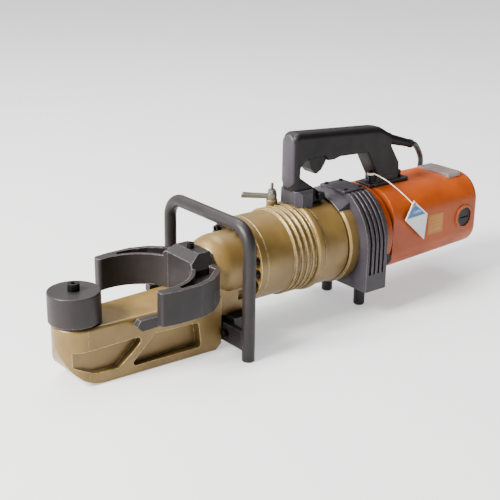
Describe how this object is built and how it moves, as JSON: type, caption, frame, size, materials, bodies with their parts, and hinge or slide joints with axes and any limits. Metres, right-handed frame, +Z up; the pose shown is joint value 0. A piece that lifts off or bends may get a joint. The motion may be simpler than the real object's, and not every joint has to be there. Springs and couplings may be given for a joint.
{
  "type": "portable hydraulic rebar bender",
  "caption": "Hand-carried electro-hydraulic rebar bender: a fork on a ram pushes the bar past a nose roller, with motor, pump and D handle in line.",
  "frame": {"origin": "on the floor under the middle of the tool's box, without its cable", "axes": "+X back along the tool towards the motor, +Y to the tool's far side, +Z up"},
  "size_m": [0.6935, 0.3262, 0.2477],
  "materials": {
    "champagne_gold": "satin metallic enamel",
    "black_paint": "satin enamel",
    "black_oxide_steel": "black oxide",
    "hard_steel": "ground",
    "seal_rubber": "matte",
    "bronze": "machined",
    "grey_casting": "satin enamel on a casting",
    "orange_paint": "satin enamel",
    "laminations": "varnished stack",
    "copper": "turned copper",
    "carbon": "matte",
    "black_plastic": "moulded",
    "lever_steel": "zinc plated",
    "plate": "satin",
    "label": "printed film",
    "tag": "coated card",
    "string": "cotton",
    "cable_rubber": "matte"
  },
  "bodies": {
    "tool_body": {"adapter_ring": "champagne_gold", "bail_bolts": "black_oxide_steel", "bail_bracket": "black_paint", "bail_handle": "black_paint", "bracket_bolts": "black_oxide_steel", "brush_caps": "black_plastic", "brush_holders": "bronze", "cable_coil": "cable_rubber", "cable_guard": "cable_rubber", "carbon_brushes": "carbon", "cover_screws": "black_oxide_steel", "cylinder": "champagne_gold", "flange_bolts": "black_oxide_steel", "front_saddle": "grey_casting", "gear_housing": "grey_casting", "handle_left": "black_plastic", "handle_right": "black_plastic", "handle_screws": "black_oxide_steel", "hang_tag": "tag", "head_frame": "champagne_gold", "mains_cable": "cable_rubber", "mandrel_bolt": "black_oxide_steel", "mandrel_pin": "hard_steel", "motor_bearings": "hard_steel", "motor_housing": "orange_paint", "nameplate": "plate", "oil_bladder": "seal_rubber", "oil_plug": "black_oxide_steel", "plug": "cable_rubber", "pump_body": "grey_casting", "pump_plungers": "hard_steel", "rear_barrel": "champagne_gold", "rear_bracket": "black_paint", "rear_foot_left": "black_paint", "rear_foot_right": "black_paint", "return_spring": "hard_steel", "rod_bush": "bronze", "rod_wiper": "seal_rubber", "saddle_bolts": "black_oxide_steel", "shaft_bearings": "hard_steel", "side_label": "label", "stator": "laminations", "switch_body": "black_plastic", "tag_string": "string", "top_cover": "grey_casting"},
    "fork_and_ram": {"bending_fork": "black_paint", "fork_screw": "black_oxide_steel", "ram": "hard_steel", "piston": "hard_steel", "piston_seal": "seal_rubber"},
    "roller": {"mandrel_roller": "black_paint"},
    "trigger": {"trigger": "black_plastic"},
    "valve": {"release_valve": "hard_steel", "valve_lever": "lever_steel", "lever_nut": "lever_steel"},
    "armature": {"armature": "laminations", "commutator": "copper", "cooling_fan": "black_plastic"},
    "pump_shaft": {"eccentric_shaft": "hard_steel", "drive_gear": "hard_steel"}
  },
  "joints": [
    {"name": "fork_slide", "type": "slide", "parent": "tool_body", "child": "fork_and_ram", "axis": [-1, 0, 0], "range_m": [0, 0.075], "deforming": ["return_spring"]},
    {"name": "roller_spin", "type": "hinge", "parent": "tool_body", "child": "roller", "pos_m": [-0.2986, 0, 0.09], "axis": [0, 0, 1], "continuous": true},
    {"name": "trigger_pull", "type": "slide", "parent": "tool_body", "child": "trigger", "axis": [0, 0, 1], "range_m": [0, 0.006], "stiffness_N_per_m": 400, "springref_m": -0.004},
    {"name": "valve_turn", "type": "hinge", "parent": "tool_body", "child": "valve", "pos_m": [0.005, 0.0183, 0.16], "axis": [0, 0, 1], "range_deg": [0, 90]},
    {"name": "armature_spin", "type": "hinge", "parent": "tool_body", "child": "armature", "pos_m": [0.22, 0, 0.096], "axis": [1, 0, 0], "continuous": true},
    {"name": "pump_shaft_spin", "type": "hinge", "parent": "tool_body", "child": "pump_shaft", "pos_m": [0.11, 0, 0.0685], "axis": [1, 0, 0], "continuous": true}
  ],
  "couplings": [
    {"joint": "pump_shaft_spin", "follows": "armature_spin", "ratio": -0.34146}
  ]
}
